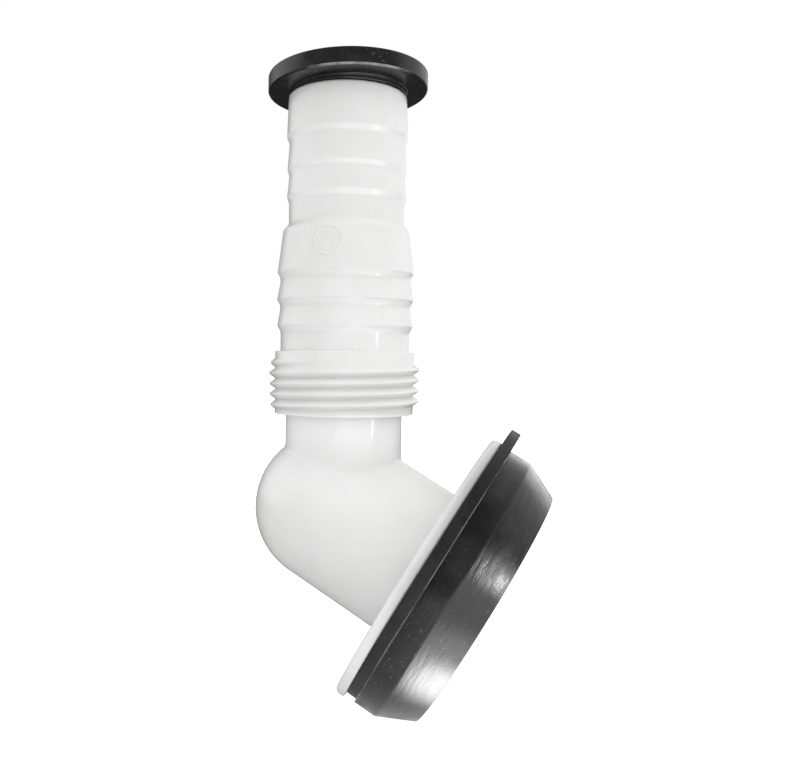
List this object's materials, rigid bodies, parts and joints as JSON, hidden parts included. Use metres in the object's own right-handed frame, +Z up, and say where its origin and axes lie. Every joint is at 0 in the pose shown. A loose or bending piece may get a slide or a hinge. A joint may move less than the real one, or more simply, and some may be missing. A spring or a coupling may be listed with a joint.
{
  "type": "thru hull fitting",
  "caption": "White 120 degree elbow hose tail with a threaded collar and round hull flange, clamped by a black conical outboard head over a flat gasket, with a rubber end plug.",
  "frame": {"origin": "centre of the underside of the whole object's box, with the hose tail upright", "axes": "+Z up along the hose tail's axis, towards its open end; the outlet leaves towards +X, 30 degrees below level; the object is even about the XZ plane, apart from its threads"},
  "size_m": [0.0654, 0.0664, 0.1389],
  "materials": {
    "white_plastic": "moulded white polypropylene, soft gloss",
    "gasket_rubber": "flat black rubber sheet, satin",
    "ring_rubber": "black nitrile rubber, satin",
    "black_plastic": "black plastic with fine turned streaks, satin",
    "plug_rubber": "moulded black rubber, soft gloss"
  },
  "bodies": {
    "elbow": {"elbow_hose_tail": "white_plastic"},
    "clamp_seals": {"flat_gasket": "gasket_rubber", "stem_o_ring": "ring_rubber"},
    "head": {"outboard_head": "black_plastic"},
    "plug": {"end_plug": "plug_rubber"}
  },
  "joints": [
    {"name": "head_travel", "type": "slide", "parent": "elbow", "child": "clamp_seals", "axis": [0.866, 0, -0.5], "range_m": [0, 0.00907]},
    {"name": "head_turn", "type": "hinge", "parent": "clamp_seals", "child": "head", "pos_m": [-0.01307, 0, 0.04234], "axis": [0.866, 0, -0.5], "range_deg": [0, 1800]},
    {"name": "plug_pull", "type": "slide", "parent": "elbow", "child": "plug", "axis": [0, 0, 1], "range_m": [0, 0.02]}
  ],
  "couplings": [
    {"joint": "head_travel", "follows": "head_turn", "m_per_rad": 0.00028871}
  ]
}
